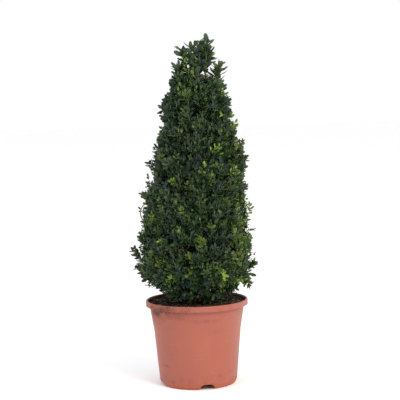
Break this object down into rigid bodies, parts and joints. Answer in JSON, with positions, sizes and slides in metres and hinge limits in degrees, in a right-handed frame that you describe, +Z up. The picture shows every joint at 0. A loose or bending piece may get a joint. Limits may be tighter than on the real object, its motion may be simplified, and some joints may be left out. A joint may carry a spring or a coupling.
{
  "type": "boxwood cone topiary in a pot",
  "caption": "Small-leaved evergreen shrub clipped to a tall cone with loose tips, growing in a round terracotta-coloured plastic nursery pot.",
  "frame": {"origin": "on the pot's axis, in the plane its foot stands on", "axes": "+Z up along the pot's axis, -Y the front, +X to the right seen from the front"},
  "size_m": [0.2807, 0.2606, 0.7633],
  "materials": {
    "pot_plastic": "satin",
    "compost": "matte",
    "bark": "matte",
    "foliage": "satin"
  },
  "bodies": {
    "root": {"bough_head_1": "bark", "bough_head_2": "bark", "bough_head_3": "bark", "bough_middle_1": "bark", "bough_middle_2": "bark", "bough_middle_3": "bark", "bough_middle_4": "bark", "bough_middle_5": "bark", "bough_middle_6": "bark", "bough_skirt_1": "bark", "bough_skirt_2": "bark", "bough_skirt_3": "bark", "bough_skirt_4": "bark", "bough_skirt_5": "bark", "bough_skirt_6": "bark", "bough_upper_1": "bark", "bough_upper_2": "bark", "bough_upper_3": "bark", "bough_upper_4": "bark", "bough_upper_5": "bark", "foliage_head_1": "foliage", "foliage_head_2": "foliage", "foliage_head_3": "foliage", "foliage_middle_1": "foliage", "foliage_middle_2": "foliage", "foliage_middle_3": "foliage", "foliage_middle_4": "foliage", "foliage_middle_5": "foliage", "foliage_middle_6": "foliage", "foliage_skirt_1": "foliage", "foliage_skirt_2": "foliage", "foliage_skirt_3": "foliage", "foliage_skirt_4": "foliage", "foliage_skirt_5": "foliage", "foliage_skirt_6": "foliage", "foliage_upper_1": "foliage", "foliage_upper_2": "foliage", "foliage_upper_3": "foliage", "foliage_upper_4": "foliage", "foliage_upper_5": "foliage", "pot": "pot_plastic", "soil": "compost", "stray_back": "foliage", "stray_back_right": "foliage", "stray_left_high": "foliage", "stray_left_long": "foliage", "stray_left_low": "foliage", "stray_left_middle": "foliage", "stray_right_drooping": "foliage", "stray_right_low": "foliage", "tip_back": "foliage", "tip_front": "foliage", "tip_inner_left": "foliage", "tip_leader": "foliage", "tip_left": "foliage", "tip_middle": "foliage", "tip_right": "foliage", "tip_shoulder": "foliage", "trunk": "bark"}
  },
  "joints": []
}
